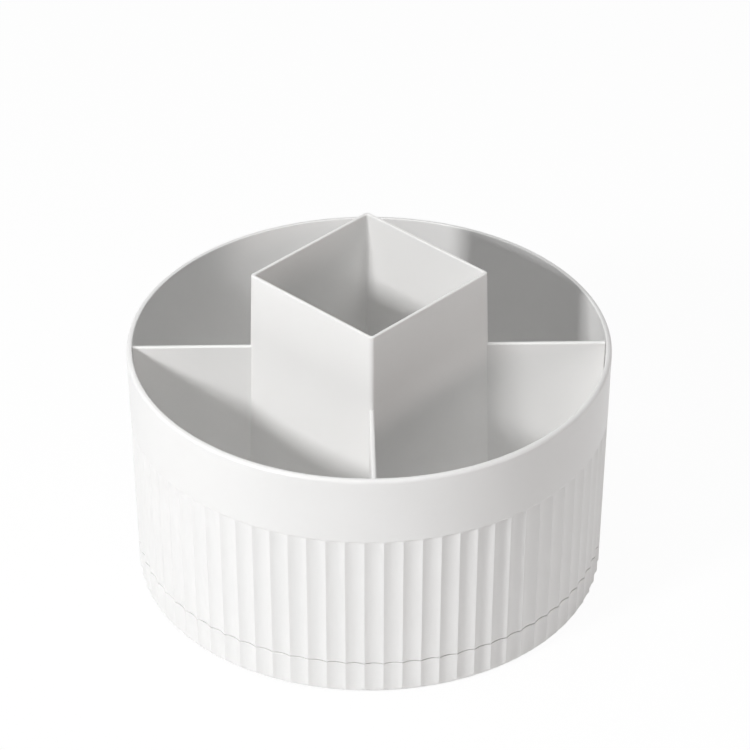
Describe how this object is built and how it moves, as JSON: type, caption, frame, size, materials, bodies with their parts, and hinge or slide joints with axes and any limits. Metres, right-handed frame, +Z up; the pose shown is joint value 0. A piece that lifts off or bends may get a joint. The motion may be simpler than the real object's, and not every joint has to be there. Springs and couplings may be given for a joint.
{
  "type": "rotating makeup organizer",
  "caption": "Round fluted desk organizer that turns on a low base, with a tall square cup in the middle and dividers out to the rim.",
  "frame": {"origin": "on the surface that the feet stand on, under the middle of the spindle", "axes": "+Z up along the spindle, -Y to the front, where a corner of the cup and one divider point, +X to the right seen from the front"},
  "size_m": [0.2249, 0.225, 0.1579],
  "materials": {
    "shell": "satin moulded",
    "foot_rubber": "matte moulded",
    "cage": "natural nylon",
    "bush": "moulded acetal",
    "ball_steel": "polished",
    "screw_steel": "zinc plated",
    "washer_steel": "stamped"
  },
  "bodies": {
    "base": {"base_shell": "shell", "spindle_bush": "bush", "foot_1": "foot_rubber", "foot_2": "foot_rubber", "foot_3": "foot_rubber", "foot_4": "foot_rubber", "foot_5": "foot_rubber", "foot_6": "foot_rubber"},
    "cage": {"ball_cage": "cage", "bearing_balls": "ball_steel"},
    "drum": {"drum_shell": "shell", "turntable_plate": "shell", "cup_and_dividers": "shell", "case_screws": "screw_steel", "spindle_screw": "screw_steel", "thrust_washer": "washer_steel"}
  },
  "joints": [
    {"name": "drum_spin", "type": "hinge", "parent": "base", "child": "drum", "pos_m": [0, 0, 0.01525], "axis": [0, 0, 1], "continuous": true},
    {"name": "cage_spin", "type": "hinge", "parent": "base", "child": "cage", "pos_m": [0, 0, 0.01525], "axis": [0, 0, 1], "continuous": true}
  ],
  "couplings": [
    {"joint": "cage_spin", "follows": "drum_spin", "ratio": 0.5}
  ]
}
